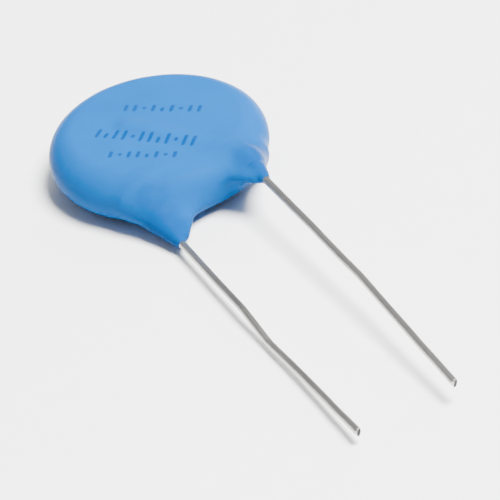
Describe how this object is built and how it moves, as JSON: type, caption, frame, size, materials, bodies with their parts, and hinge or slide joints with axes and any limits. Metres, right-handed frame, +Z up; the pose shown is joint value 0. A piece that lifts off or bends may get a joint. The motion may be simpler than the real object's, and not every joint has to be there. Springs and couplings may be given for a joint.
{
  "type": "ceramic disc capacitor",
  "caption": "Round flat capacitor with a glossy blue dipped coating and parallel wire leads leaving its rim side by side, for through-hole boards.",
  "frame": {"origin": "on the table, under the middle of the whole length and half-way between the two sides", "axes": "+Z up from the table, -Y the way the leads run from the disc, +X the side of the front lead, whose buried end lies under the upper face"},
  "size_m": [0.0174, 0.0502, 0.0051],
  "materials": {
    "epoxy_coating": "glossy dipped epoxy, light blue",
    "ceramic": "matt fired ceramic, tan",
    "silver": "matt fired silver",
    "solder": "dull bright solder",
    "tinned_wire": "satin tinned wire"
  },
  "bodies": {
    "root": {"coating": "epoxy_coating", "ceramic_disc": "ceramic", "front_electrode": "silver", "back_electrode": "silver", "front_solder": "solder", "back_solder": "solder", "front_lead": "tinned_wire", "back_lead": "tinned_wire"}
  },
  "joints": []
}
